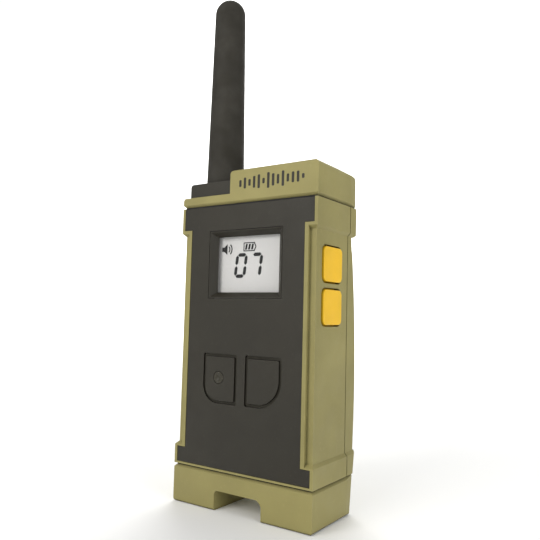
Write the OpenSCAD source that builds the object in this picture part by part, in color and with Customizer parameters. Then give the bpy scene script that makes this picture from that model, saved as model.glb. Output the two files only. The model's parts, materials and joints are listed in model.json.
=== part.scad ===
// Hand-held electronic game caller control unit.
// Front faces -Y, the side buttons face +X, the antenna points to +Z.
// The origin is the middle of the footprint, on the underside of the feet.
// Inside every module y is counted rearwards from the front plane; seat() shifts it to the origin.

/* [Body] */
// Width over the two collars and the caps
body_width = 60; // [60:0.5:64]
// Width of the waisted middle section
waist_width = 58; // [57.5:0.25:59]
// Greatest depth, at the battery hump
body_depth = 32.5; // [32.5:0.5:34]
// Height of the raised half of the top cap
body_height = 122.8; // [121.4:0.2:126]
// Wall thickness of the shells
wall = 2; // [1.8:0.1:2.2]

/* [Antenna] */
// Height of the antenna tip above the feet
antenna_tip = 195.5; // [190:0.5:230]
// Diameter of the antenna where it leaves its base
antenna_root_diameter = 14.5; // [12:0.5:16]
// Diameter of the antenna just below its round tip
antenna_top_diameter = 12; // [9:0.5:14]

/* [Keys] */
// Gap between a front key and the panel around it
key_gap = 1.1; // [0.6:0.1:1.2]
// How far a front key can be pressed
key_travel = 0.8; // [0.4:0.1:1]
// How far a side button stands out of the waist
button_rise = 0.7; // [0.2:0.1:0.9]

/* [Base] */
// Left edge of the notch under the base
notch_left = -10.5; // [-14:0.1:-6]
// Right edge of the notch under the base
notch_right = 10; // [6:0.1:14]
// Height of the notch
notch_height = 7.1; // [4:0.1:9]

/* [Hidden] */
$fn = 64;
front_y = -body_depth / 2;
half = body_width / 2;
waist = waist_width / 2;
bore_half = waist - wall;
base_top = 13.5;
shell_bottom = 14;
shell_top = 110;
cap_bottom = 110.5;
step_top = 114.1;
parting = 24;
seam = 0.4;
seam_inset = 0.7;
rear_floor = 26.2;
collar_low = [20.8, 21.9];
collar_high = [99.3, 100.4];
rim_half = 26.6;
rim_rise = 1.4;
panel_wide = 28.7;
panel_narrow = 25;
panel_levels = [14.85, 20.2, 101.6, 109.8];
panel_depth = 1.2;
face_back = 3.2;
lcd_outer = [16.3, 75.6, 100.7];
lcd_window = [13.5, 78, 98.3];
lcd_well = 2.5;
hump_radius = 340;
hump_level = 47;
collar_rear = 30.2;
cap_rear = 29.7;
cap_slope = 2.6;
tail_rear = 27.9;
tail_tilt = 8.6;
corner = 2;
side_relief = 0.9;
raised_left = -7.3;
mark_level = 117.4;
mark_depth = 0.5;
left_key_box = [-16.7, 38.3, -2.45, 55];
right_key_box = [2.25, 38.4, 16.5, 55.1];
left_key_round = 6;
right_key_round = 9;
key_flange = 1.3;
key_spots = [[-9.6, 46.7], [9.4, 46.8]];
marker_spot = [-10.1, 47];
button_y = [5.8, 18.7];
upper_button_z = [81.9, 94];
lower_button_z = [67.1, 79.2];
button_gap = 0.6;
switch_y = 10;
switch_z = [88, 73];
board_y = [9, 10.6];
case_spots = [[-23.8, 18.5], [23.8, 18.5], [-23.8, 103.5], [23.8, 103.5]];
board_spots = [[-21.5, 33], [21.5, 33], [-21.5, 68], [21.5, 60]];
cap_spots = [[0, 16], [16, 16]];
base_spots = [[-20, 12], [20, 12]];
tray_spots = [[-25.3, 34], [25.3, 34], [-25.3, 74], [25.3, 74]];
cell_pitch = 15;
cell_y = 21.6;
cell_z = [28.8, 79.3];
cell_radius = 7.25;
hinge_y = 29.4;
hinge_z = 26;
door_half = 23.9;
door_top = 89;
door_screw_z = 85.7;
antenna_x = -18.4;
antenna_y = 11;
antenna_seat = 119.5;

olive = [0.55, 0.52, 0.34];
dark = [0.22, 0.21, 0.19];
yellow = [0.9, 0.73, 0.2];
steel = [0.7, 0.7, 0.72];
brass = [0.75, 0.6, 0.3];
green = [0.1, 0.35, 0.2];
black = [0.08, 0.08, 0.08];

// ---------- helpers ----------

// Shifts a piece drawn from the front plane to the shared origin.
module seat() {
    translate([0, front_y, 0])
        children();
}

// Rectangle with a radius for each corner: low left, low right, high right, high left.
module soft_rect(x0, y0, x1, y1, r) {
    difference() {
        translate([x0, y0])
            square([x1 - x0, y1 - y0]);
        if (r[0] > 0)
            corner_waste(x0, y0, 1, 1, r[0]);
        if (r[1] > 0)
            corner_waste(x1, y0, -1, 1, r[1]);
        if (r[2] > 0)
            corner_waste(x1, y1, -1, -1, r[2]);
        if (r[3] > 0)
            corner_waste(x0, y1, 1, -1, r[3]);
    }
}

// What a radius takes off a square corner; sx and sy point into the shape.
module corner_waste(x, y, sx, sy, r) {
    difference() {
        translate([x + sx * (r - 1) / 2, y + sy * (r - 1) / 2])
            square(r + 1, center = true);
        translate([x + sx * r, y + sy * r])
            circle(r);
    }
}

// Square turned on its corner, to take a 45 degree chamfer of size c off a corner.
module chamfer_waste(x, y, c) {
    translate([x, y])
        rotate(45)
            square(c * sqrt(2), center = true);
}

// Front view outline (x, z) pushed rearwards from y0 to y1.
module from_front(y0, y1) {
    translate([0, y1, 0])
        rotate([90, 0, 0])
            linear_extrude(y1 - y0)
                children();
}

// Side view outline (y, z) pushed across from x0 to x1.
module from_side(x0, x1) {
    translate([x0, 0, 0])
        rotate([90, 0, 90])
            linear_extrude(x1 - x0)
                children();
}

// Plan outline (x, y) pushed up from z0 to z1.
module from_above(z0, z1) {
    translate([0, 0, z0])
        linear_extrude(z1 - z0)
            children();
}

module block(x0, y0, z0, x1, y1, z1) {
    translate([x0, y0, z0])
        cube([x1 - x0, y1 - y0, z1 - z0]);
}

// Cylinder along y at (x, z).
module rod_y(x, z, y0, y1, r) {
    translate([x, y1, z])
        rotate([90, 0, 0])
            cylinder(h = y1 - y0, r = r);
}

// Cylinder along x at (y, z).
module rod_x(y, z, x0, x1, r) {
    translate([x0, y, z])
        rotate([0, 90, 0])
            cylinder(h = x1 - x0, r = r);
}

// Cylinder along z at (x, y).
module rod_z(x, y, z0, z1, r) {
    translate([x, y, z0])
        cylinder(h = z1 - z0, r = r);
}

// ---------- outer envelopes ----------

// Front view outline of both shells: wide collars, waist between them.
module shell_outline() {
    polygon([
        [-half, shell_bottom], [half, shell_bottom], [half, collar_low[0]],
        [waist, collar_low[1]], [waist, collar_high[0]], [half, collar_high[1]],
        [half, shell_top], [-half, shell_top], [-half, collar_high[1]],
        [-waist, collar_high[0]], [-waist, collar_low[1]], [-half, collar_low[0]]
    ]);
}

// Side view of the front half: the waist lies behind the collars.
module front_side_outline() {
    polygon([
        [0, shell_bottom], [parting, shell_bottom], [parting, shell_top], [0, shell_top],
        [0, collar_high[1]], [rim_rise, collar_high[0]], [rim_rise, collar_low[1]],
        [0, collar_low[0]]
    ]);
}

// Outline of the dark inlay; grow is added on every side.
module panel_outline(grow) {
    w = panel_wide + grow;
    n = panel_narrow + grow;
    z = [panel_levels[0] - grow, panel_levels[1] + grow, panel_levels[2] - grow,
        panel_levels[3] + grow];
    polygon([
        [-w, z[0]], [w, z[0]], [w, z[1]], [n, z[1]], [n, z[2]], [w, z[2]],
        [w, z[3]], [-w, z[3]], [-w, z[2]], [-n, z[2]], [-n, z[1]], [-w, z[1]]
    ]);
}

// Large drum whose rim forms the gently curved back, with rounded side corners.
module hump_drum(half_width) {
    translate([0, body_depth - hump_radius, hump_level])
        rotate([0, 90, 0])
            rotate_extrude($fn = 360)
                soft_rect(hump_radius - 40, -half_width, hump_radius, half_width,
                    [0, corner, corner, 0]);
}

// Leaning block whose back face carries the lower collar and the bottom cap.
module tail_block() {
    translate([0, tail_rear, 0])
        rotate([-tail_tilt, 0, 0])
            translate([0, 0, -10])
                linear_extrude(50)
                    soft_rect(-half, -40, half, 0, [0, 0, corner, corner]);
}

// What the sides of both caps lose behind the parting line, where they draw in slightly.
module side_relief_waste(rear) {
    for (s = [-1, 1])
        translate([s * half, 0])
            scale([s, 1])
                polygon([[0, parting], [1, parting], [1, rear + 1], [-side_relief, rear + 1],
                    [-side_relief, rear]]);
}

// ---------- housing ----------

module front_housing() {
    color(olive)
        seat()
            difference() {
                union() {
                    difference() {
                        intersection() {
                            from_front(0, parting - seam / 2)
                                shell_outline();
                            union() {
                                block(-rim_half, 0, shell_bottom, rim_half, parting, shell_top);
                                from_side(-half, half)
                                    front_side_outline();
                            }
                        }
                        block(-bore_half, face_back, shell_bottom + wall,
                            bore_half, parting + 1, shell_top - wall);
                        from_front(-1, panel_depth)
                            panel_outline(0.15);
                        block(-panel_wide, -1, panel_levels[3], panel_wide, panel_depth,
                            shell_top + 1);
                    }
                    for (p = case_spots)
                        rod_y(p[0], p[1], face_back - 0.5, parting - seam / 2, 3);
                    for (p = board_spots)
                        rod_y(p[0], p[1], face_back - 0.5, board_y[0], 2.4);
                    for (p = base_spots)
                        rod_z(p[0], p[1], shell_bottom + 1, shell_bottom + 7, 2.6);
                }
                block(-lcd_outer[0], -1, lcd_outer[1], lcd_outer[0], face_back + 1,
                    lcd_outer[2]);
                from_front(-1, face_back + 1) {
                    left_key_outline(key_gap / 2);
                    right_key_outline(key_gap / 2);
                }
                from_side(bore_half - 1, half + 1) {
                    button_outline(upper_button_z, button_gap);
                    button_outline(lower_button_z, button_gap);
                }
                for (p = case_spots)
                    rod_y(p[0], p[1], 11, parting + 1, 1.55);
                for (p = board_spots)
                    rod_y(p[0], p[1], 4.2, board_y[0] + 1, 1.05);
                for (p = base_spots)
                    rod_z(p[0], p[1], shell_bottom - 1, shell_bottom + 6, 1.55);
                for (p = cap_spots)
                    rod_z(p[0], p[1], shell_top - wall - 1, shell_top + 1, 1.7);
                rod_z(antenna_x, antenna_y, shell_top - wall - 1, shell_top + 1, 3);
            }
}

module rear_housing() {
    color(olive)
        seat()
            difference() {
                union() {
                    difference() {
                        rear_envelope();
                        block(-bore_half, parting - 1, shell_bottom + wall,
                            bore_half, rear_floor, shell_top - wall);
                    }
                    for (p = case_spots)
                        rod_y(p[0], p[1], parting + seam / 2, rear_floor + 0.5, 4.3);
                    rod_y(0, door_screw_z, 22.6, rear_floor + 0.5, 3.4);
                }
                for (p = case_spots) {
                    rod_y(p[0], p[1], parting - 1, body_depth + 1, 1.65);
                    rod_y(p[0], p[1], 27, body_depth + 1, 3.1);
                }
                block(-door_half - 0.5, parting - 1, 23.3, door_half + 0.5, body_depth + 1,
                    82.2);
                block(-door_half - 0.5, 27.4, 80, door_half + 0.5, body_depth + 1,
                    door_top + 0.4);
                rod_x(hinge_y, hinge_z, -door_half - 0.5, door_half + 0.5, 3.5);
                rod_x(hinge_y, hinge_z, -27, 27, 0.78);
                rod_y(0, door_screw_z, 22, 27.3, 2.2);
                rod_y(0, door_screw_z, 27.2, 28, 1.8);
                for (p = tray_spots)
                    rod_y(p[0], p[1], rear_floor - 1, 28.6, 0.75);
            }
}

// Back half of the body: flat upper collar, drum-shaped waist, leaning lower collar.
module rear_envelope() {
    intersection() {
        from_front(parting + seam / 2, body_depth + 1)
            shell_outline();
        union() {
            intersection() {
                hump_drum(waist);
                block(-half, parting, collar_low[1], half, body_depth + 1, collar_high[1]);
            }
            intersection() {
                from_above(collar_high[0], shell_top)
                    soft_rect(-half, 10, half, collar_rear, [0, 0, corner, corner]);
                from_side(-half, half)
                    polygon([
                        [10, collar_high[0]], [28.4, collar_high[0]],
                        [collar_rear, collar_high[1] + 0.6], [collar_rear, shell_top],
                        [10, shell_top]
                    ]);
            }
            intersection() {
                tail_block();
                block(-half, parting, shell_bottom, half, body_depth + 1, collar_low[1]);
            }
        }
    }
}

// Seal squeezed between the two shells; it shows as a dark line in the seam.
module case_seal() {
    color(black)
        seat()
            from_front(parting - seam / 2, parting + seam / 2)
                difference() {
                    intersection() {
                        translate([-seam_inset, 0])
                            shell_outline();
                        translate([seam_inset, 0])
                            shell_outline();
                        translate([-half, shell_bottom + seam_inset])
                            square([body_width, shell_top - shell_bottom - 2 * seam_inset]);
                    }
                    translate([-bore_half, shell_bottom + wall])
                        square([2 * bore_half, shell_top - shell_bottom - 2 * wall]);
                }
}

// ---------- front face ----------

module front_panel() {
    color(dark)
        seat()
            from_front(0.1, panel_depth)
                difference() {
                    panel_outline(0);
                    translate([-lcd_outer[0], lcd_outer[1]])
                        square([2 * lcd_outer[0], lcd_outer[2] - lcd_outer[1]]);
                    left_key_outline(key_gap / 2);
                    right_key_outline(key_gap / 2);
                }
}

module lcd_bezel() {
    edge = 0.15;
    color(dark)
        seat()
            difference() {
                block(-lcd_outer[0] + edge, 0.1, lcd_outer[1] + edge,
                    lcd_outer[0] - edge, lcd_well, lcd_outer[2] - edge);
                intersection() {
                    from_above(lcd_outer[1], lcd_outer[2])
                        polygon([
                            [-lcd_outer[0] + 0.4, 0], [lcd_outer[0] - 0.4, 0],
                            [lcd_window[0], lcd_well + 0.01], [-lcd_window[0], lcd_well + 0.01]
                        ]);
                    from_side(-lcd_outer[0], lcd_outer[0])
                        polygon([
                            [0, lcd_outer[1] + 0.4], [lcd_well + 0.01, lcd_window[1]],
                            [lcd_well + 0.01, lcd_window[2]], [0, lcd_outer[2] - 0.4]
                        ]);
                }
            }
}

module lcd_lens() {
    color([0.85, 0.88, 0.86, 0.5])
        seat()
            block(-15.9, lcd_well, 76, 15.9, 4, 100.3);
}

module lcd_glass() {
    color([0.8, 0.81, 0.78])
        seat()
            block(-17, 4, 73.2, 17, 6.2, 102.2);
}

module lcd_seal() {
    color(black)
        seat()
            difference() {
                block(-18, face_back, 74.2, 18, 4, 102);
                block(-16.5, face_back - 1, 75.5, 16.5, 5, 100.8);
            }
}

module lcd_backlight() {
    color([0.9, 0.9, 0.88])
        seat()
            block(-15.5, 6.2, 76, 15.5, board_y[0], 100);
}

module lcd_contact_strips() {
    color([0.75, 0.45, 0.5])
        seat() {
            block(-15, 6.2, 73.4, 15, board_y[0], 75.4);
            block(-15, 6.2, 100.6, 15, board_y[0], 102);
        }
}

// ---------- front keys ----------

module left_key_outline(grow) {
    soft_rect(left_key_box[0] - grow, left_key_box[1] - grow, left_key_box[2] + grow,
        left_key_box[3] + grow, [left_key_round + grow, 0.6, 0.6, 0.6]);
}

module right_key_outline(grow) {
    soft_rect(right_key_box[0] - grow, right_key_box[1] - grow, right_key_box[2] + grow,
        right_key_box[3] + grow, [0.6, right_key_round + grow, 0.6, 0.6]);
}

module left_key() {
    color(dark)
        seat()
            difference() {
                union() {
                    from_front(0, face_back + 0.2)
                        left_key_outline(-key_gap / 2);
                    from_front(face_back + 0.2, face_back + 1.2)
                        left_key_outline(key_flange);
                }
                rod_y(marker_spot[0], marker_spot[1], -1, 0.8, 2.3);
            }
}

module right_key() {
    color(dark)
        seat() {
            from_front(0, face_back + 0.2)
                right_key_outline(-key_gap / 2);
            from_front(face_back + 0.2, face_back + 1.2)
                right_key_outline(key_flange);
        }
}

module key_marker() {
    color([0.3, 0.3, 0.27])
        seat()
            difference() {
                rod_y(marker_spot[0], marker_spot[1], 0.05, 0.8, 2.1);
                translate([marker_spot[0], -1.6, marker_spot[1]])
                    sphere(r = 2.1);
            }
}

module key_plunger(spot) {
    color([0.85, 0.85, 0.85])
        seat()
            rod_y(spot[0], spot[1], face_back + 1.2, 6.5, 1.6);
}

module left_key_plunger() {
    key_plunger(key_spots[0]);
}

module right_key_plunger() {
    key_plunger(key_spots[1]);
}

module key_switches() {
    color(black)
        seat()
            for (p = key_spots)
                difference() {
                    block(p[0] - 3, 6, p[1] - 3, p[0] + 3, board_y[0], p[1] + 3);
                    rod_y(p[0], p[1], 5, 6.5 + key_travel + 0.3, 1.68);
                }
}

// ---------- side buttons ----------

module button_outline(z, grow) {
    r = 1.9 + grow;
    soft_rect(button_y[0] - grow, z[0] - grow, button_y[1] + grow, z[1] + grow, [r, r, r, r]);
}

module side_button(z) {
    color(yellow)
        seat() {
            from_side(bore_half - 0.1, waist + button_rise)
                button_outline(z, 0);
            from_side(bore_half - 1.3, bore_half - 0.1)
                button_outline(z, 1);
        }
}

module upper_side_button() {
    side_button(upper_button_z);
}

module lower_side_button() {
    side_button(lower_button_z);
}

module side_plunger(z) {
    color([0.85, 0.85, 0.85])
        seat()
            rod_x(switch_y, z, 23.4, bore_half - 1.3, 1.6);
}

module upper_side_plunger() {
    side_plunger(switch_z[0]);
}

module lower_side_plunger() {
    side_plunger(switch_z[1]);
}

module side_switches() {
    color(black)
        seat()
            for (z = switch_z)
                difference() {
                    block(21.4, switch_y - 3, z - 3, 24.2, switch_y + 3, z + 3);
                    rod_x(switch_y, z, 22.2, 25, 1.68);
                }
}

module side_switch_board() {
    color(green)
        seat()
            block(20.2, 5.2, 66, 21.4, 12.9, 95);
}

module side_header() {
    color(black)
        seat()
            block(17.8, board_y[1], 72, 20.2, 12.6, 90);
}

// ---------- electronics ----------

module main_board() {
    color(green)
        seat()
            from_front(board_y[0], board_y[1])
                difference() {
                    translate([-25, 26])
                        square([50, 77]);
                    translate([19.8, 64])
                        square([10, 32.5]);
                    for (p = case_spots)
                        translate(p)
                            circle(3.4);
                    for (p = board_spots)
                        translate(p)
                            circle(1.2);
                }
}

module radio_shield() {
    color(steel)
        seat()
            difference() {
                block(-19, board_y[1], 84, -3, 13.4, 98);
                block(-18.6, board_y[1] - 1, 84.4, -3.4, 13, 97.6);
            }
}

module board_chips() {
    color(black)
        seat() {
            block(2, board_y[1], 58, 14, 12.2, 70);
            block(-14, board_y[1], 62, -6, 12, 68);
            block(-12, board_y[1], 44, -4, 11.9, 50);
            block(4, board_y[1], 40, 9, 11.8, 46);
        }
}

module sounder() {
    color(black)
        seat()
            rod_y(9, 91, board_y[1], 14.6, 6);
}

module board_screws() {
    color(steel)
        seat()
            for (p = board_spots) {
                rod_y(p[0], p[1], 5, board_y[1], 1);
                difference() {
                    rod_y(p[0], p[1], board_y[1], 12, 2);
                    drive_cross(p[0], 12, p[1], 2.2);
                }
            }
}

// Cross recess for a screw head whose top lies at y.
module drive_cross(x, y, z, size) {
    block(x - size / 2, y - 0.7, z - 0.25, x + size / 2, y + 1, z + 0.25);
    block(x - 0.25, y - 0.7, z - size / 2, x + 0.25, y + 1, z + size / 2);
}

// ---------- top cap and antenna ----------

// Cap body, shrunk by inset for the hollow inside.
module cap_envelope(inset) {
    low = inset > 0 ? cap_bottom - 1 : cap_bottom;
    r = inset > 0 ? 0 : 1;
    intersection() {
        from_front(0, cap_rear)
            difference() {
                union() {
                    soft_rect(-half + inset, low, half - inset, step_top - inset,
                        [0, 0, 0, 1.2 * r]);
                    soft_rect(raised_left + inset, low, half - inset, body_height - inset,
                        [0, 0, 2 * r, 1.6 * r]);
                }
                if (inset == 0) {
                    chamfer_waste(-half, low, 0.9);
                    chamfer_waste(half, low, 0.9);
                }
            }
        from_side(-half, half)
            difference() {
                soft_rect(inset, low, cap_rear - inset, body_height - inset,
                    [0, 0, 4 * r, 1 * r]);
                translate([3, body_height - inset])
                    rotate(-cap_slope)
                        square([40, 5]);
                if (inset == 0) {
                    chamfer_waste(0, low, 0.9);
                    chamfer_waste(cap_rear, low, 0.9);
                }
            }
        from_above(low, body_height)
            difference() {
                soft_rect(-half + inset, inset, half - inset, cap_rear - inset,
                    [0, 0, corner * r, corner * r]);
                if (inset == 0)
                    side_relief_waste(cap_rear);
            }
    }
}

module top_cap() {
    color(olive)
        seat()
            difference() {
                union() {
                    difference() {
                        cap_envelope(0);
                        cap_envelope(wall);
                    }
                    for (p = cap_spots)
                        rod_z(p[0], p[1], cap_bottom, body_height - wall + 0.5, 3);
                }
                for (p = cap_spots)
                    rod_z(p[0], p[1], cap_bottom - 1, 119, 1.55);
                rod_z(antenna_x, antenna_y, cap_bottom - 1, step_top + 1, 2.4);
                from_front(-1, mark_depth)
                    mark_outline(0.04);
            }
}

// Row of upright bars whose heights swell and fade, like a picture of a sound.
module mark_outline(grow) {
    bars = 14;
    w = 0.5 + grow;
    for (i = [0 : bars - 1]) {
        x = -2.6 + i * 2.05;
        swell = 0.35 + 0.65 * sin(180 * (i + 0.5) / bars);
        h = 0.8 + 2.1 * swell * abs(sin(i * 67 + 30)) + grow;
        soft_rect(x - w, mark_level - h, x + w, mark_level + h, [0.4, 0.4, 0.4, 0.4]);
    }
}

module cap_mark() {
    color(dark)
        seat()
            from_front(0.03, mark_depth)
                mark_outline(0);
}

module seal_ring(z0, z1, rear) {
    difference() {
        block(-half + 0.8, 0.8, z0, half - 0.8, rear - 1.2, z1);
        block(-half + 1.9, 1.9, z0 - 1, half - 1.9, rear - 2.4, z1 + 1);
    }
}

module top_seal() {
    color(black)
        seat()
            seal_ring(shell_top, cap_bottom, cap_rear);
}

module cap_screws() {
    color(steel)
        seat()
            for (p = cap_spots) {
                rod_z(p[0], p[1], shell_top - wall, 118.5, 1.5);
                difference() {
                    rod_z(p[0], p[1], shell_top - wall - 2, shell_top - wall, 2.8);
                    block(p[0] - 1.8, p[1] - 0.3, 105, p[0] + 1.8, p[1] + 0.3, 106.8);
                    block(p[0] - 0.3, p[1] - 1.8, 105, p[0] + 0.3, p[1] + 1.8, 106.8);
                }
            }
}

module antenna_base() {
    color(dark)
        seat()
            difference() {
                intersection() {
                    from_front(0.8, 21.2)
                        soft_rect(-27.8, step_top, raised_left - 0.15, antenna_seat,
                            [0, 0, 0.4, 2]);
                    from_above(step_top, antenna_seat)
                        soft_rect(-27.8, 0.8, raised_left - 0.15, 21.2, [1.2, 0, 0, 2]);
                }
                rod_z(antenna_x, antenna_y, step_top - 1, antenna_seat + 1, 2.4);
            }
}

module antenna_mast() {
    root = antenna_root_diameter / 2;
    top = antenna_top_diameter / 2;
    bend = antenna_tip - top;
    color(dark)
        seat()
            translate([antenna_x, antenna_y, 0])
                rotate_extrude()
                    difference() {
                        union() {
                            polygon([
                                [0, antenna_seat], [root, antenna_seat], [top, bend], [0, bend]
                            ]);
                            intersection() {
                                translate([0, bend])
                                    circle(top);
                                translate([0, bend])
                                    square([top + 1, top + 1]);
                            }
                        }
                        translate([0, antenna_seat - 1])
                            square([2.4, 7]);
                        translate([0, antenna_seat - 1])
                            square([1.95, 62]);
                    }
}

module antenna_core() {
    color([0.85, 0.84, 0.78])
        seat()
            rod_z(antenna_x, antenna_y, 125, 180, 1);
}

module antenna_coil() {
    turns = 16;
    pitch = 3;
    color([0.75, 0.45, 0.25])
        seat()
            translate([antenna_x, antenna_y, 128])
                rotate_extrude()
                    for (i = [0 : turns - 1])
                        translate([1.45, i * pitch])
                            circle(0.45);
}

module antenna_stud() {
    color(brass)
        seat()
            rod_z(antenna_x, antenna_y, 111, 125, 2.3);
}

module antenna_nut() {
    color(brass)
        seat()
            translate([antenna_x, antenna_y, 110.6])
                difference() {
                    cylinder(h = 1.5, r = 4.4, $fn = 6);
                    translate([0, 0, -1])
                        cylinder(h = 4, r = 2.35);
                }
}

module antenna_lead() {
    color(black)
        seat()
            rod_z(antenna_x, antenna_y, 107, 111, 0.9);
}

module antenna_socket() {
    color(brass)
        seat()
            block(antenna_x - 1.8, 9, 103, antenna_x + 1.8, 13, 107);
}

// ---------- base ----------

module notch_outline() {
    soft_rect(notch_left, -1, notch_right, notch_height, [0, 0, 2.8, 1.6]);
}

// Outside of the bottom cap.
module base_envelope() {
    rise = 2.5;
    lean = tan(tail_tilt);
    yc = tail_rear + rise * lean - rise / cos(tail_tilt);
    difference() {
        intersection() {
            from_front(0, body_depth)
                difference() {
                    soft_rect(-half, 0, half, base_top, [1.3, 1.3, 0, 0]);
                    chamfer_waste(-half, base_top, 0.9);
                    chamfer_waste(half, base_top, 0.9);
                }
            tail_block();
        }
        from_side(-half - 1, half + 1) {
            difference() {
                translate([yc, -1])
                    square([10, 1 + rise * (1 - sin(tail_tilt))]);
                translate([yc, rise])
                    circle(rise);
            }
            chamfer_waste(0, base_top, 0.9);
            chamfer_waste(tail_rear + base_top * lean, base_top, 0.9);
            corner_waste(0, 0, 1, 1, 0.8);
        }
        from_above(-1, base_top + 1)
            side_relief_waste(tail_rear + base_top * lean);
    }
}

module bottom_cap() {
    lip = notch_height + wall;
    color(olive)
        seat()
            difference() {
                union() {
                    difference() {
                        base_envelope();
                        difference() {
                            block(-half + wall, wall, wall, half - wall, 25.6, base_top + 1);
                            block(notch_left - wall, 0, 0, notch_right + wall, 30, lip);
                        }
                    }
                    for (p = base_spots)
                        rod_z(p[0], p[1], wall - 0.5, base_top, 4);
                }
                from_front(-1, body_depth + 1)
                    notch_outline();
                for (p = base_spots) {
                    rod_z(p[0], p[1], -1, base_top + 1, 1.65);
                    rod_z(p[0], p[1], -1, 6, 3.1);
                }
            }
}

module bottom_seal() {
    color(black)
        seat()
            seal_ring(base_top, shell_bottom, 29.8);
}

module base_screws() {
    color(steel)
        seat()
            for (p = base_spots) {
                rod_z(p[0], p[1], 6, 19.5, 1.5);
                difference() {
                    rod_z(p[0], p[1], 3.8, 6, 2.8);
                    block(p[0] - 1.8, p[1] - 0.3, 3, p[0] + 1.8, p[1] + 0.3, 4.8);
                    block(p[0] - 0.3, p[1] - 1.8, 3, p[0] + 0.3, p[1] + 1.8, 4.8);
                }
            }
}

module case_screws() {
    color(steel)
        seat()
            for (p = case_spots) {
                rod_y(p[0], p[1], 12, 27, 1.5);
                difference() {
                    rod_y(p[0], p[1], 27, 29, 2.8);
                    drive_cross(p[0], 29, p[1], 3.4);
                }
            }
}

// ---------- batteries and door ----------

module battery_tray() {
    color(black)
        seat()
            difference() {
                union() {
                    block(-24.1, 13.3, 23.5, 24.1, 27, 82);
                    block(-26.6, 25, 23.5, 26.6, rear_floor, 83.4);
                }
                block(-22.7, 14.3, 25, 22.7, 40, 80.5);
                for (p = tray_spots)
                    rod_y(p[0], p[1], 24, 28, 0.8);
                block(-5, 24, 82, 5, 28, 84);
            }
}

module tray_screws() {
    color(steel)
        seat()
            for (p = tray_spots) {
                rod_y(p[0], p[1], 25, 28.4, 0.7);
                rod_y(p[0], p[1], 23.9, 25, 1.1);
            }
}

module battery_cells() {
    color([0.25, 0.25, 0.28])
        seat()
            for (i = [-1 : 1])
                translate([i * cell_pitch, cell_y, 0]) {
                    translate([0, 0, cell_z[0]])
                        cylinder(h = cell_z[1] - cell_z[0] - 1.2, r = cell_radius);
                    translate([0, 0, cell_z[1] - 1.2])
                        cylinder(h = 1.2, r = 2.7);
                }
}

// Each spring is drawn as a stack of wire rings that narrows towards the cell.
module battery_springs() {
    color(steel)
        seat()
            for (i = [-1 : 1])
                translate([i * cell_pitch, cell_y, 25]) {
                    cylinder(h = 0.4, r = 5.2);
                    rotate_extrude() {
                        translate([4.4, 0.9])
                            circle(0.5);
                        translate([3.9, 1.9])
                            circle(0.5);
                        translate([3.4, 2.8])
                            circle(0.5);
                        translate([2.9, 3.3])
                            circle(0.5);
                    }
                }
}

module battery_contacts() {
    color(brass)
        seat()
            for (i = [-1 : 1])
                block(i * cell_pitch - 5, cell_y - 5, cell_z[1], i * cell_pitch + 5,
                    cell_y + 5, 80.5);
}

module battery_header() {
    color(black)
        seat()
            block(-6, board_y[1], 27, 6, 13.3, 31);
}

module battery_door() {
    color(olive)
        seat()
            difference() {
                union() {
                    intersection() {
                        hump_drum(waist);
                        union() {
                            block(-door_half, 29.2, hinge_z, door_half, body_depth + 1, door_top);
                            block(-door_half, 27.6, 82.4, door_half, body_depth + 1, door_top);
                        }
                    }
                    rod_x(hinge_y, hinge_z, -door_half, door_half, 2.2);
                }
                rod_x(hinge_y, hinge_z, -door_half - 1, door_half + 1, 0.83);
                rod_y(0, door_screw_z, 26, body_depth + 1, 1.6);
                rod_y(0, door_screw_z, 28.8, body_depth + 1, 3.1);
            }
}

module door_hinge_pin() {
    color(steel)
        seat()
            rod_x(hinge_y, hinge_z, -26.9, 26.9, 0.75);
}

module door_screw() {
    color(steel)
        seat() {
            rod_y(0, door_screw_z, 26, 28.85, 1.5);
            difference() {
                rod_y(0, door_screw_z, 28.85, 30, 2.95);
                block(-2.3, 29.4, door_screw_z - 0.4, 2.3, 31, door_screw_z + 0.4);
            }
        }
}

module door_insert() {
    color(brass)
        seat()
            difference() {
                rod_y(0, door_screw_z, 24, 27.3, 2.15);
                rod_y(0, door_screw_z, 23, 28, 1.58);
            }
}

front_housing();
rear_housing();
case_seal();
front_panel();
lcd_bezel();
lcd_lens();
lcd_glass();
lcd_seal();
lcd_backlight();
lcd_contact_strips();
left_key();
right_key();
key_marker();
left_key_plunger();
right_key_plunger();
key_switches();
upper_side_button();
lower_side_button();
upper_side_plunger();
lower_side_plunger();
side_switches();
side_switch_board();
side_header();
main_board();
radio_shield();
board_chips();
sounder();
board_screws();
top_cap();
cap_mark();
top_seal();
cap_screws();
antenna_base();
antenna_mast();
antenna_core();
antenna_coil();
antenna_stud();
antenna_nut();
antenna_lead();
antenna_socket();
bottom_cap();
bottom_seal();
base_screws();
case_screws();
battery_tray();
tray_screws();
battery_cells();
battery_springs();
battery_contacts();
battery_header();
battery_door();
door_hinge_pin();
door_screw();
door_insert();
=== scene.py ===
"""Looks for the hand-held game caller control unit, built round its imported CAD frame.

Lengths are written in millimetres and turned into metres by MM, except those of the floor
and the lamps, which are in metres. The unit faces -Y, its side buttons face +X and its
antenna points to +Z.
"""

import json
import math

import bmesh
import bpy
from mathutils import Matrix, Vector


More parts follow.
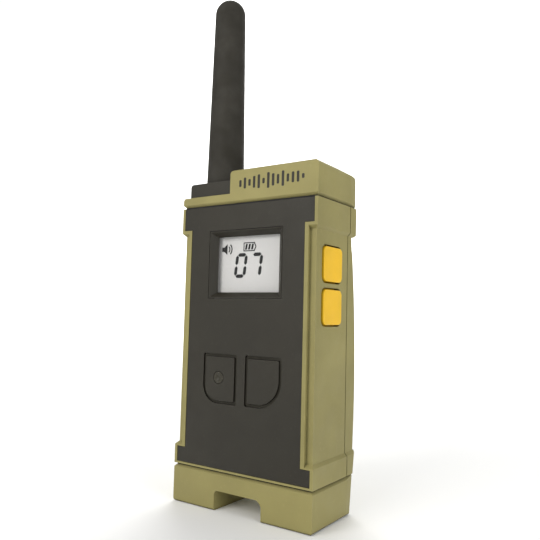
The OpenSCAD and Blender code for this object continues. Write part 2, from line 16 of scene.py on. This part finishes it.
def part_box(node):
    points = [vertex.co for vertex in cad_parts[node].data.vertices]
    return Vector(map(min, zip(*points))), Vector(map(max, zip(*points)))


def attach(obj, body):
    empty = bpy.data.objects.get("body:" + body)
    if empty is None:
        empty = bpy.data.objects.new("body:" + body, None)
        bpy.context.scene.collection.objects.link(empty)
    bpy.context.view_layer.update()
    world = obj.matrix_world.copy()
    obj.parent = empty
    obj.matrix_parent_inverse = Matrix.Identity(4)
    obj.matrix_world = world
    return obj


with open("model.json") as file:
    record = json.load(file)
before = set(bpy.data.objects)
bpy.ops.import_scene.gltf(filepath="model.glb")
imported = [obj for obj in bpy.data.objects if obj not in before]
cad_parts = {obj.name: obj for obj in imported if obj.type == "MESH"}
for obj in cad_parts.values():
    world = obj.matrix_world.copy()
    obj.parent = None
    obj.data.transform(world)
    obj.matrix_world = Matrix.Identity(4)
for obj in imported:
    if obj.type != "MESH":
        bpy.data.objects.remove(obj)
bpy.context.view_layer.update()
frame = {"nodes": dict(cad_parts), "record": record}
NODES = frame["nodes"]
MM = 0.001


# ---------------------------------------------------------------- camera and stage

AZIMUTH, ELEVATION, ROLL = 34.4, -4.3, 1.44
EYE = (127.6, -185.95, 70.1)
LENS = 39.69

FLOOR_NEAR, FLOOR_FAR, FLOOR_HALF_WIDTH = -3.0, 1.4, 4.0
CURVE_RADIUS, CURVE_STEPS, BACKDROP_HEIGHT = 0.6, 24, 2.6
FLOOR_COLOUR, FLOOR_ROUGHNESS = (0.86, 0.86, 0.85, 1), 0.9
SKY_STRENGTH = 0.55

# name, place, aim, size, power, tint
LIGHTS = (
    ("key", (-0.20, -0.80, 0.50), (0, 0, 0.09), 0.55, 4.6, (1, 0.985, 0.96)),
    ("side", (0.85, -0.20, 0.30), (0, 0, 0.09), 0.5, 2.9, (0.97, 0.98, 1)),
    ("rear", (-0.30, 0.60, 0.65), (0, 0, 0.1), 0.6, 4.0, (1, 1, 1)),
    ("backdrop", (-0.75, 1.1, 1.2), (-1.15, 1.9, 0.45), 1.6, 30.0, (1, 1, 1)),
)


def make_camera():
    """Camera below the middle of the unit, looking slightly up, leaning a little."""
    a, e, r = (math.radians(v) for v in (AZIMUTH, ELEVATION, ROLL))
    back = Vector((math.sin(a) * math.cos(e), -math.cos(a) * math.cos(e), math.sin(e)))
    right = Vector((math.cos(a), math.sin(a), 0))
    up = back.cross(right)
    right_rolled = math.cos(r) * right + math.sin(r) * up
    up_rolled = -math.sin(r) * right + math.cos(r) * up
    data = bpy.data.cameras.new("camera")
    data.lens = LENS
    data.sensor_width = 36
    data.clip_start = 0.005
    cam = bpy.data.objects.new("camera", data)
    turn = Matrix((right_rolled, up_rolled, back)).transposed()
    cam.matrix_world = Matrix.Translation(Vector(EYE) * MM) @ turn.to_4x4()
    bpy.context.scene.collection.objects.link(cam)
    bpy.context.scene.camera = cam


def area_light(name, place, aim, size, power, tint):
    data = bpy.data.lights.new(name, "AREA")
    data.shape = "SQUARE"
    data.size = size
    data.energy = power
    data.color = tint
    lamp = bpy.data.objects.new(name, data)
    lamp.location = place
    direction = Vector(aim) - Vector(place)
    lamp.rotation_euler = direction.to_track_quat("-Z", "Y").to_euler()
    bpy.context.scene.collection.objects.link(lamp)


def make_floor():
    """Pale floor that curves up into a pale backdrop, square to the camera."""
    profile = [(FLOOR_NEAR, 0.0), (FLOOR_FAR, 0.0)]
    for i in range(1, CURVE_STEPS + 1):
        t = math.pi / 2 * i / CURVE_STEPS
        y = FLOOR_FAR + CURVE_RADIUS * math.sin(t)
        profile.append((y, CURVE_RADIUS * (1 - math.cos(t))))
    profile.append((FLOOR_FAR + CURVE_RADIUS, BACKDROP_HEIGHT))
    bm = bmesh.new()
    rows = []
    for y, z in profile:
        rows.append([bm.verts.new((side * FLOOR_HALF_WIDTH, y, z)) for side in (-1, 1)])
    for low, high in zip(rows, rows[1:]):
        bm.faces.new((low[0], low[1], high[1], high[0]))
    mesh = bpy.data.meshes.new("floor")
    bm.to_mesh(mesh)
    bm.free()
    for face in mesh.polygons:
        face.use_smooth = True
    floor = bpy.data.objects.new("floor", mesh)
    bpy.context.scene.collection.objects.link(floor)
    floor.rotation_euler = (0, 0, math.radians(AZIMUTH))
    mat = bpy.data.materials.new("floor")
    mat.use_nodes = True
    shader = mat.node_tree.nodes["Principled BSDF"]
    shader.inputs["Base Color"].default_value = FLOOR_COLOUR
    shader.inputs["Roughness"].default_value = FLOOR_ROUGHNESS
    mesh.materials.append(mat)


def make_light():
    """Soft studio light: an even sky and four large lamps."""
    world = bpy.data.worlds.new("studio")
    bpy.context.scene.world = world
    world.use_nodes = True
    sky = world.node_tree.nodes["Background"]
    sky.inputs["Color"].default_value = (1, 1, 1, 1)
    sky.inputs["Strength"].default_value = SKY_STRENGTH
    for light in LIGHTS:
        area_light(*light)
    view = bpy.context.scene.view_settings
    view.view_transform = "Standard"
    view.look = "None"


# ---------------------------------------------------------------- material tools


def linear(rgb):
    """8-bit display colour to the linear values that shaders use."""
    out = []
    for v in rgb:
        v /= 255
        out.append(v / 12.92 if v <= 0.04045 else ((v + 0.055) / 1.055) ** 2.4)
    return (*out, 1)


def shade(colour, factor, lift=0.0):
    """A linear colour made darker or lighter by a factor, then lifted by a constant."""
    return tuple(min(1, c * factor + lift) for c in colour[:3]) + (1,)


class Shader:
    """A node tree with a Principled shader, and short ways to add nodes to it."""

    def __init__(self, name):
        self.mat = bpy.data.materials.new(name)
        self.mat.use_nodes = True
        self.tree = self.mat.node_tree
        self.out = self.tree.nodes["Principled BSDF"]
        coords = self.tree.nodes.new("ShaderNodeTexCoord")
        self.place = coords.outputs["Object"]

    def feed(self, socket, value):
        """Links another node's output to a socket, or sets the socket's own value."""
        if isinstance(value, bpy.types.NodeSocket):
            self.tree.links.new(value, socket)
        else:
            socket.default_value = value

    def node(self, kind, **inputs):
        """A new node; an underscore in an input's name stands for a space."""
        made = self.tree.nodes.new(kind)
        for key, value in inputs.items():
            self.feed(made.inputs[key.replace("_", " ")], value)
        return made

    def vector(self, operation, a, b=None):
        """Vector arithmetic on one or two inputs."""
        made = self.tree.nodes.new("ShaderNodeVectorMath")
        made.operation = operation
        self.feed(made.inputs[0], a)
        if b is not None:
            self.feed(made.inputs[1], b)
        return made.outputs

    def noise(self, size_mm, detail, stretch=None):
        """Noise whose features are about size_mm across, 0 to 1."""
        place = self.place
        if stretch:
            place = self.vector("MULTIPLY", place, stretch)[0]
        scale = 1 / (size_mm * MM)
        made = self.node("ShaderNodeTexNoise", Vector=place, Scale=scale, Detail=detail)
        return made.outputs["Fac"]

    def ramp(self, value, low, high, to_low=0.0, to_high=1.0):
        """Maps low..high to to_low..to_high and holds both ends."""
        made = self.node(
            "ShaderNodeMapRange",
            Value=value,
            From_Min=low,
            From_Max=high,
            To_Min=to_low,
            To_Max=to_high,
        )
        return made.outputs["Result"]

    def math(self, kind, a, b):
        made = self.tree.nodes.new("ShaderNodeMath")
        made.operation = kind
        self.feed(made.inputs[0], a)
        self.feed(made.inputs[1], b)
        return made.outputs[0]

    def mix(self, factor, a, b):
        """Blends two colours; sockets 6 and 7 of the mix node are its colour inputs."""
        made = self.tree.nodes.new("ShaderNodeMix")
        made.data_type = "RGBA"
        self.feed(made.inputs[0], factor)
        self.feed(made.inputs[6], a)
        self.feed(made.inputs[7], b)
        return made.outputs[2]

    def edges(self, radius_mm):
        """0 on flat faces and up to 1 on sharp edges."""
        rounded = self.node("ShaderNodeBevel", Radius=radius_mm * MM)
        rounded.samples = 4
        plain = self.tree.nodes.new("ShaderNodeNewGeometry")
        dot = self.vector("DOT_PRODUCT", rounded.outputs["Normal"], plain.outputs["Normal"])
        return self.ramp(dot["Value"], 0.995, 0.86)

    def crevices(self, distance_mm):
        """1 deep in grooves and corners, 0 in the open."""
        made = self.node("ShaderNodeAmbientOcclusion", Distance=distance_mm * MM)
        made.samples = 6
        return self.ramp(made.outputs["AO"], 0.82, 0.34)

    def bump(self, height, strength, distance_mm):
        distance = distance_mm * MM
        made = self.node("ShaderNodeBump", Height=height, Strength=strength, Distance=distance)
        return made.outputs["Normal"]

    def set(self, **values):
        """Sets or links inputs of the Principled shader and gives back the material."""
        for key, value in values.items():
            self.feed(self.out.inputs[key.replace("_", " ")], value)
        return self.mat


# ---------------------------------------------------------------- materials


def moulded(name, rgb, rough, grain_mm=0.45, grain=0.25, edge_wear_and_highlight=0.35, crevice_shade_strength=0.6, glow=1.35):
    """Moulded plastic: spark texture, uneven colour, edges lightened partly as rubbed wear and
    partly as painted highlight, painted shade darkening its grooves.
    """
    s = Shader(name)
    base = linear(rgb)
    # paler tone of the spark flecks and of the lightened edges, whose lightening is partly rubbed
    # wear and partly painted highlight
    fleck_wear_and_highlight_tone = shade(base, glow, 0.01)
    patches = s.noise(22, detail=4)
    colour = s.mix(s.ramp(patches, 0.35, 0.65), shade(base, 0.90), shade(base, 1.07))
    specks = s.ramp(s.noise(1.1, detail=2), 0.62, 0.8, 0, 0.25)
    colour = s.mix(specks, colour, fleck_wear_and_highlight_tone)
    # edges lightened in noisy patches: partly rubbed wear, partly painted highlight
    rubbed = s.math("MULTIPLY", s.edges(0.55), s.ramp(s.noise(3.2, detail=5), 0.38, 0.62))
    colour = s.mix(s.math("MULTIPLY", rubbed, edge_wear_and_highlight), colour, fleck_wear_and_highlight_tone)
    # painted shade: the colour is darkened in grooves and corners, where shade falls, by an
    # occlusion mask broken up by noise
    uneven = s.ramp(s.noise(5, detail=3), 0.2, 0.6, 0.6, 1)
    crevice_shade = s.math("MULTIPLY", s.crevices(1.6), uneven)
    colour = s.mix(s.math("MULTIPLY", crevice_shade, crevice_shade_strength), colour, shade(base, 0.18))
    roughness = s.ramp(s.noise(7, detail=5), 0.3, 0.7, rough - 0.06, rough + 0.07)
    roughness = s.math("SUBTRACT", roughness, s.math("MULTIPLY", rubbed, 0.12))
    texture = s.bump(s.noise(grain_mm, detail=2), grain, 0.05)
    return s.set(Base_Color=colour, Roughness=roughness, Normal=texture, Specular_IOR_Level=0.34)


def rubber(name, rgb, rough=0.72):
    """Matt rubber: dusty patches, paler rubbed edges, fine skin."""
    s = Shader(name)
    base = linear(rgb)
    dusty = shade(base, 1.5, 0.012)
    dust = s.ramp(s.noise(9, detail=6), 0.45, 0.72, 0, 0.45)
    colour = s.mix(dust, base, dusty)
    patchy = s.ramp(s.noise(2.5, detail=4), 0.4, 0.6, 0, 0.5)
    colour = s.mix(s.math("MULTIPLY", s.edges(0.7), patchy), colour, dusty)
    roughness = s.ramp(s.noise(6, detail=4), 0.3, 0.7, rough - 0.08, rough + 0.08)
    texture = s.bump(s.noise(0.35, detail=3), 0.3, 0.05)
    return s.set(Base_Color=colour, Roughness=roughness, Normal=texture, Specular_IOR_Level=0.35)


def metal(name, rgb, rough):
    """Metal with dull patches and fine lines along one way."""
    s = Shader(name)
    base = linear(rgb)
    dull = s.ramp(s.noise(2.5, detail=4), 0.35, 0.7)
    colour = s.mix(dull, base, shade(base, 0.72))
    lines = s.noise(0.8, detail=3, stretch=(1, 1, 14))
    roughness = s.ramp(lines, 0.3, 0.7, rough - 0.08, rough + 0.12)
    texture = s.bump(lines, 0.15, 0.02)
    return s.set(Base_Color=colour, Roughness=roughness, Normal=texture, Metallic=1.0)


def gloss(name, rgb, rough):
    """Smooth plastic or ink, slightly uneven in colour and gloss."""
    s = Shader(name)
    base = linear(rgb)
    colour = s.mix(s.ramp(s.noise(6, detail=3), 0.3, 0.7), shade(base, 0.9), base)
    roughness = s.ramp(s.noise(3, detail=4), 0.3, 0.7, rough - 0.05, rough + 0.08)
    return s.set(Base_Color=colour, Roughness=roughness)


def circuit_board(name):
    """Green laminate with copper runs under the mask and small solder pads."""
    s = Shader(name)
    runs = s.node("ShaderNodeTexBrick", Vector=s.place, Scale=180.0, Mortar_Size=0.02)
    runs.inputs["Color1"].default_value = linear((24, 96, 52))
    runs.inputs["Color2"].default_value = linear((28, 108, 60))
    runs.inputs["Mortar"].default_value = linear((52, 138, 84))
    dots = s.node("ShaderNodeTexVoronoi", Vector=s.place, Scale=420.0)
    pads = s.ramp(dots.outputs["Distance"], 0.12, 0.08, 0, 0.8)
    colour = s.mix(pads, runs.outputs["Color"], linear((190, 180, 150)))
    return s.set(Base_Color=colour, Roughness=0.35)


def display(name):
    """Display face with a faint painted glow: pale grey, cloudy, a touch darker towards its edges.
    """
    s = Shader(name)
    low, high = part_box("lcd_glass")
    offset = s.vector("SUBTRACT", s.place, (low + high) / 2)[0]
    from_middle = s.vector("LENGTH", offset)["Value"]
    edge = s.ramp(from_middle, 6 * MM, 19 * MM)
    colour = s.mix(edge, linear((212, 211, 209)), linear((203, 202, 199)))
    cloud = s.ramp(s.noise(8, detail=3), 0.35, 0.65, 0, 0.35)
    colour = s.mix(cloud, colour, linear((206, 205, 203)))
    # painted light: the faint emission lifts the face out of the shade of its recess
    glow = linear((222, 221, 219))
    return s.set(Base_Color=colour, Roughness=0.3, Emission_Color=glow, Emission_Strength=0.05)


def lens_material(name):
    """Clear window: it adds a soft sheen and lets the display show through."""
    s = Shader(name)
    rough = s.ramp(s.noise(4, detail=5), 0.4, 0.7, 0.04, 0.16)
    return s.set(Base_Color=(0.01, 0.012, 0.012, 1), Roughness=rough, Alpha=0.06)


def cell_jacket(name):
    """Battery sleeve: slate body with a pale band and a bare tip at its upper end."""
    s = Shader(name)
    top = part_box("battery_cells")[1].z
    split = s.node("ShaderNodeSeparateXYZ", Vector=s.place)
    height = split.outputs["Z"]
    band = s.ramp(height, top - 15.5 * MM, top - 15.3 * MM)
    colour = s.mix(band, linear((58, 72, 88)), linear((176, 178, 172)))
    tip = s.ramp(height, top - 1.3 * MM, top - 1.2 * MM)
    colour = s.mix(tip, colour, linear((200, 200, 200)))
    scuff = s.ramp(s.noise(2, detail=5), 0.6, 0.75, 0, 0.3)
    colour = s.mix(scuff, colour, linear((120, 118, 112)))
    return s.set(Base_Color=colour, Roughness=0.3, Metallic=0.25)


OLIVE = (140, 132, 82)
DARK = (40, 37, 28)
MARKER = (48, 45, 34)
BLACK = (30, 30, 29)
YELLOW = (231, 183, 30)

# one material for each material slot of the record
MATERIALS = {
    # the olive plastic takes the strongest painted shade in its grooves
    "olive_shell": moulded("olive_plastic", OLIVE, 0.56, crevice_shade_strength=0.85),
    "dark_plastic": moulded("dark_plastic", DARK, 0.5, 0.4, 0.22, 0.4, 0.7, 1.7),
    "marker_plastic": moulded("marker_plastic", MARKER, 0.45, 0.4, 0.15, 0.5, 0.6, 1.6),
    "antenna_rubber": rubber("antenna_rubber", (36, 33, 25)),
    "yellow_plastic": moulded("yellow_plastic", YELLOW, 0.42, 0.5, 0.12, 0.3, 0.5, 1.12),
    "clear_lens": lens_material("clear_lens"),
    "lcd_surface": display("display_face"),
    "seal_rubber": rubber("seal_rubber", (22, 21, 18)),
    "white_plastic": gloss("white_plastic", (222, 221, 214), 0.4),
    "contact_rubber": rubber("contact_rubber", (190, 120, 130)),
    "circuit_board": circuit_board("circuit_board"),
    "shield_metal": metal("shield_metal", (186, 186, 190), 0.36),
    "screw_steel": metal("screw_steel", (150, 150, 150), 0.34),
    "brass": metal("brass", (196, 158, 84), 0.3),
    "glass_fibre": gloss("glass_fibre", (220, 216, 198), 0.3),
    "copper_wire": metal("copper_wire", (190, 112, 62), 0.3),
    "cell_jacket": cell_jacket("cell_jacket"),
    "black_plastic": moulded("black_plastic", BLACK, 0.5, 0.4, 0.2, 0.3, 0.4, 1.8),
}
WEB_RUBBER = rubber("web_rubber", (33, 30, 19))


# ---------------------------------------------------------------- CAD nodes

BEVEL_SEGMENTS, BEVEL_ANGLE, FLAT_ANGLE = 3, 32, 0.4

# widths of the rounded edges
SOFT_EDGES = {
    "front_housing": 0.35,
    "rear_housing": 0.3,
    "top_cap": 0.6,
    "bottom_cap": 0.5,
    "front_panel": 0.18,
    "lcd_bezel": 0.15,
    "left_key": 0.3,
    "right_key": 0.3,
    "upper_side_button": 0.35,
    "lower_side_button": 0.35,
    "antenna_base": 1.1,
    "battery_door": 0.3,
}


def dress_nodes():
    """Every CAD node takes the detailed material of its record slot."""
    slots = {p["node"]: p["material_slot"] for p in frame["record"]["subparts"]}
    for name, obj in NODES.items():
        obj.data.materials.clear()
        obj.data.materials.append(MATERIALS[slots[name]])


def soften(name, width_mm):
    """Rounds a CAD node's sharp edges as moulding does."""
    obj = NODES[name]
    weld = obj.modifiers.new("weld", "WELD")
    weld.merge_threshold = 1e-6
    flat = obj.modifiers.new("flat", "DECIMATE")
    flat.decimate_type = "DISSOLVE"
    flat.angle_limit = math.radians(FLAT_ANGLE)
    bevel = obj.modifiers.new("bevel", "BEVEL")
    bevel.width = width_mm * MM
    bevel.segments = BEVEL_SEGMENTS
    bevel.limit_method = "ANGLE"
    bevel.angle_limit = math.radians(BEVEL_ANGLE)
    bevel.use_clamp_overlap = True
    normals = obj.modifiers.new("normals", "WEIGHTED_NORMAL")
    normals.weight = 60
    for face in obj.data.polygons:
        face.use_smooth = True


def add_piece(name, bm, material, body):
    """Turns a bmesh into a piece that rides on a body."""
    bmesh.ops.recalc_face_normals(bm, faces=bm.faces)
    mesh = bpy.data.meshes.new(name)
    bm.to_mesh(mesh)
    bm.free()
    mesh.materials.append(material)
    piece = bpy.data.objects.new(name, mesh)
    bpy.context.scene.collection.objects.link(piece)
    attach(piece, body)


# ---------------------------------------------------------------- display content

DIGIT_WIDTH, DIGIT_HEIGHT, BAR, BAR_GAP = 5.3, 9.1, 1.3, 0.16
SLANT = math.tan(math.radians(7))
DIGIT_LEVEL = 83.3
DIGITS = (("abcdef", -7.55), ("abc", -0.7))  # lit bars of 0 and 7, and their left ends
HORN_PLACE = (-13.3, 92.0)
BATTERY_PLACE = (-3.3, 93.0)
INK_NEAR, INK_FAR = 0.06, 0.01  # how far the ink stands in front of the display face
ARC_STEPS = 14


def plate(name, outlines, y_near, y_far, material):
    """Thin plates on the display from (x, z) outlines, between two depths in metres."""
    bm = bmesh.new()
    for outline in outlines:
        front = [bm.verts.new((x * MM, y_near, z * MM)) for x, z in outline]
        rear = [bm.verts.new((x * MM, y_far, z * MM)) for x, z in outline]
        bm.faces.new(front)
        bm.faces.new(list(reversed(rear)))
        count = len(outline)
        for i in range(count):
            j = (i + 1) % count
            bm.faces.new((front[j], front[i], rear[i], rear[j]))
    add_piece(name, bm, material, "housing")


def segment_outlines(x, z, names):
    """Seven-segment bars, pointed at their ends; x, z is the digit's low left corner."""
    h, w, b, gap = DIGIT_HEIGHT, DIGIT_WIDTH, BAR, BAR_GAP

    def across(level):
        return [
            (b / 2 + gap, level),
            (b + gap, level + b / 2),
            (w - b - gap, level + b / 2),
            (w - b / 2 - gap, level),
            (w - b - gap, level - b / 2),
            (b + gap, level - b / 2),
        ]

    def upright(centre, low, high):
        return [
            (centre, low + gap),
            (centre + b / 2, low + b / 2 + gap),
            (centre + b / 2, high - b / 2 - gap),
            (centre, high - gap),
            (centre - b / 2, high - b / 2 - gap),
            (centre - b / 2, low + b / 2 + gap),
        ]

    low, mid, top = b / 2, h / 2, h - b / 2
    left, right = b / 2, w - b / 2
    bars = {
        "a": across(top),
        "b": upright(right, mid, top),
        "c": upright(right, low, mid),
        "d": across(low),
        "e": upright(left, low, mid),
        "f": upright(left, mid, top),
    }
    return [[(x + px + SLANT * pz, z + pz) for px, pz in bars[n]] for n in names]


def sound_arc(cx, cz, r0, r1, half_angle):
    """Arc band between two radii, opening towards +x."""
    turns = []
    for i in range(ARC_STEPS + 1):
        turns.append(math.radians(-half_angle + 2 * half_angle * i / ARC_STEPS))
    outer = [(cx + r1 * math.cos(t), cz + r1 * math.sin(t)) for t in turns]
    inner = [(cx + r0 * math.cos(t), cz + r0 * math.sin(t)) for t in reversed(turns)]
    return outer + inner


def box_outline(x0, z0, x1, z1):
    return [(x0, z0), (x1, z0), (x1, z1), (x0, z1)]


def horn_icon(x, z):
    """Small loudspeaker with two sound arcs."""
    horn = [(0, 1.2), (1.0, 1.2), (2.5, 0), (2.5, 4), (1.0, 2.8), (0, 2.8)]
    return [
        [(x + px, z + pz) for px, pz in horn],
        sound_arc(x + 2.3, z + 2, 1.1, 1.55, 48),
        sound_arc(x + 2.3, z + 2, 2.1, 2.6, 48),
    ]


def battery_icon(x, z):
    """Battery outline with a pointed tip and three slanted charge bars."""
    w, h, line = 5.0, 3.3, 0.36
    tip = [
        (w, 0),
        (w + 0.8, h / 2),
        (w, h),
        (w - 0.3, h - line),
        (w + 0.35, h / 2),
        (w - 0.3, line),
    ]
    outline = [
        box_outline(x, z, x + w, z + line),
        box_outline(x, z + h - line, x + w, z + h),
        box_outline(x, z + line, x + line, z + h - line),
        [(x + px, z + pz) for px, pz in tip],
    ]
    for i in range(3):
        bx = x + 0.65 + i * 1.38
        low, high = z + 0.6, z + h - 0.6
        outline.append([(bx, low), (bx + 0.85, low), (bx + 1.25, high), (bx + 0.4, high)])
    return outline


def dress_display():
    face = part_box("lcd_glass")[0].y
    ink = gloss("display_ink", (9, 9, 9), 0.5)
    near, far = face - INK_NEAR * MM, face - INK_FAR * MM
    digits = []
    for names, x in DIGITS:
        digits += segment_outlines(x, DIGIT_LEVEL, names)
    plate("display_digits", digits, near, far, ink)
    plate("display_horn", horn_icon(*HORN_PLACE), near, far, ink)
    plate("display_battery", battery_icon(*BATTERY_PLACE), near, far, ink)


# ---------------------------------------------------------------- keypad web

KEY_FLANGE, KEY_GAP = 1.3, 1.1
LEFT_KEY_RADII = (6, 0.6, 0.6, 0.6)
RIGHT_KEY_RADII = (0.6, 9, 0.6, 0.6)
WEB_CLEARANCE, WEB_FRONT, WEB_REAR = 0.06, 0.7, 1.0
CORNER_STEPS, SMALLEST_RADIUS = 8, 0.05


def key_loop(low, high, radii, grow):
    """Outline (x, z) of a key, grown by a margin; radii run from low left anticlockwise."""
    x0, z0, x1, z1 = low[0] - grow, low[1] - grow, high[0] + grow, high[1] + grow
    corners = ((x0, z0, 1, 1, 180), (x1, z0, -1, 1, 270), (x1, z1, -1, -1, 0), (x0, z1, 1, -1, 90))
    loop = []
    for (x, z, sx, sz, start), radius in zip(corners, radii):
        r = max(SMALLEST_RADIUS, radius + grow)
        for i in range(CORNER_STEPS + 1):
            t = math.radians(start + 90 * i / CORNER_STEPS)
            loop.append((x + sx * r + r * math.cos(t), z + sz * r + r * math.sin(t)))
    return loop


def key_web(name, node, radii):
    """Dark rubber web that closes the gap round a front key, a little below the face."""
    low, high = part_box(node)
    low_corner = (low.x / MM + KEY_FLANGE, low.z / MM + KEY_FLANGE)
    high_corner = (high.x / MM - KEY_FLANGE, high.z / MM - KEY_FLANGE)
    reach = KEY_GAP / 2 - WEB_CLEARANCE
    front, rear = low.y + WEB_FRONT * MM, low.y + WEB_REAR * MM
    bm = bmesh.new()
    rows = []
    for grow, y in ((reach, front), (-reach, front), (-reach, rear), (reach, rear)):
        loop = key_loop(low_corner, high_corner, radii, grow)
        rows.append([bm.verts.new((x * MM, y, z * MM)) for x, z in loop])
    for a, b in zip(rows, rows[1:] + rows[:1]):
        for i in range(len(a)):
            j = (i + 1) % len(a)
            bm.faces.new((a[i], a[j], b[j], b[i]))
    add_piece(name, bm, WEB_RUBBER, "housing")


# ---------------------------------------------------------------- battery door detail

DRUM_LEVEL, DRUM_RADIUS = 47.0, 340.0
RIB_COUNT, RIB_LOW, RIB_PITCH = 5, 69.0, 2.1
RIB_HALF_WIDTH, RIB_TAPER = 9.0, 0.8
RIB_RISE, RIB_SINK, RIB_THICKNESS, RIB_STEPS = 0.45, 0.1, 0.9, 10


def drum_y(level):
    """How far back the curved battery door reaches at a height."""
    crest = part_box("battery_door")[1].y / MM
    return crest - DRUM_RADIUS + math.sqrt(DRUM_RADIUS**2 - (level - DRUM_LEVEL) ** 2)


def rib_section(bm, x, level):
    """Half-round section of a rib, sunk a little into the door."""
    base = drum_y(level) - RIB_SINK
    loop = []
    for i in range(RIB_STEPS + 1):
        t = math.pi * i / RIB_STEPS
        y = base + (RIB_RISE + RIB_SINK) * math.sin(t)
        z = level - RIB_THICKNESS / 2 * math.cos(t)
        loop.append(bm.verts.new((x * MM, y * MM, z * MM)))
    return loop


def door_ribs():
    """Low finger ribs across the upper part of the battery door."""
    bm = bmesh.new()
    for row in range(RIB_COUNT):
        level = RIB_LOW + row * RIB_PITCH
        half_width = RIB_HALF_WIDTH - abs(row - RIB_COUNT // 2) * RIB_TAPER
        a, b = (rib_section(bm, end * half_width, level) for end in (-1, 1))
        for i in range(RIB_STEPS):
            bm.faces.new((a[i], a[i + 1], b[i + 1], b[i]))
        bm.faces.new(a[::-1])
        bm.faces.new(b)
        bm.faces.new((a[0], b[0], b[-1], a[-1]))
    add_piece("door_ribs", bm, MATERIALS["olive_shell"], "battery_door")


make_camera()
make_floor()
make_light()
dress_nodes()
for node_name, edge_width in SOFT_EDGES.items():
    soften(node_name, edge_width)
dress_display()
key_web("left_key_web", "left_key", LEFT_KEY_RADII)
key_web("right_key_web", "right_key", RIGHT_KEY_RADII)
door_ribs()
